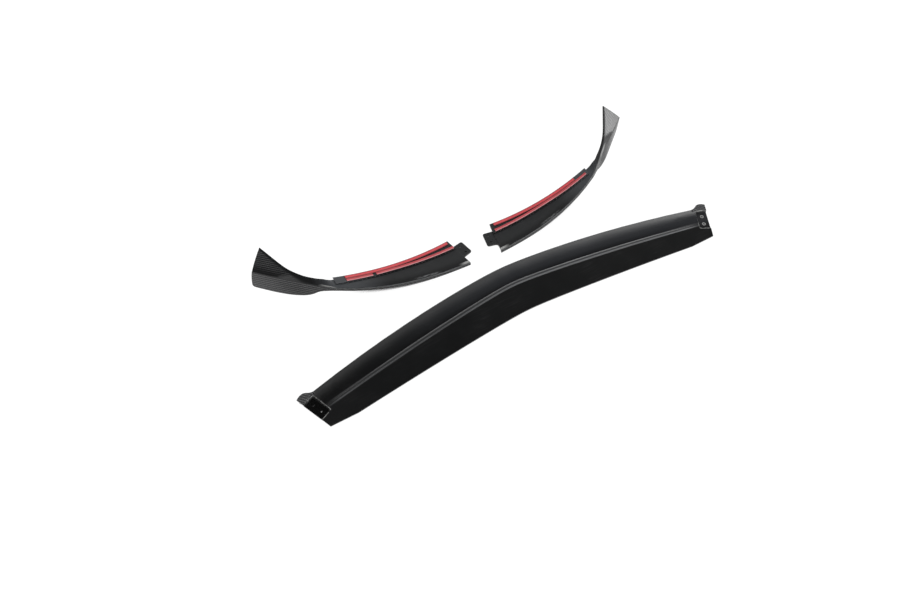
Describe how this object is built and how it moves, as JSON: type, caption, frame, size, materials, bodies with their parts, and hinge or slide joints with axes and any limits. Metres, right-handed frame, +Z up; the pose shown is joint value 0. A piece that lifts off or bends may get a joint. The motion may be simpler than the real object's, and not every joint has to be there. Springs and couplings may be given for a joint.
{
  "type": "front splitter lip",
  "caption": "Sectioned front splitter lip laid out for fitting: a V-nosed centre blade and taped corner blades that sweep up into creased fins.",
  "frame": {"origin": "middle of the laid-out set's footprint, on the floor", "axes": "+X along the centre section to the right, +Y away from the viewer towards the corner sections, +Z up"},
  "size_m": [1.182, 0.4542, 0.116],
  "materials": {
    "centre_shell": "satin black carbon laminate",
    "corner_shell": "lacquered carbon weave with a matt black back",
    "foam": "closed-cell acrylic foam",
    "liner": "red release film"
  },
  "bodies": {
    "root": {"centre_section": "centre_shell", "right_corner_section": "corner_shell", "right_outer_tape_foam": "foam", "right_outer_tape_liner": "liner", "right_inner_tape_foam": "foam", "right_inner_tape_liner": "liner", "left_corner_section": "corner_shell", "left_outer_tape_foam": "foam", "left_outer_tape_liner": "liner", "left_inner_tape_foam": "foam", "left_inner_tape_liner": "liner", "left_short_inner_tape_foam": "foam", "left_short_inner_tape_liner": "liner"}
  },
  "joints": []
}
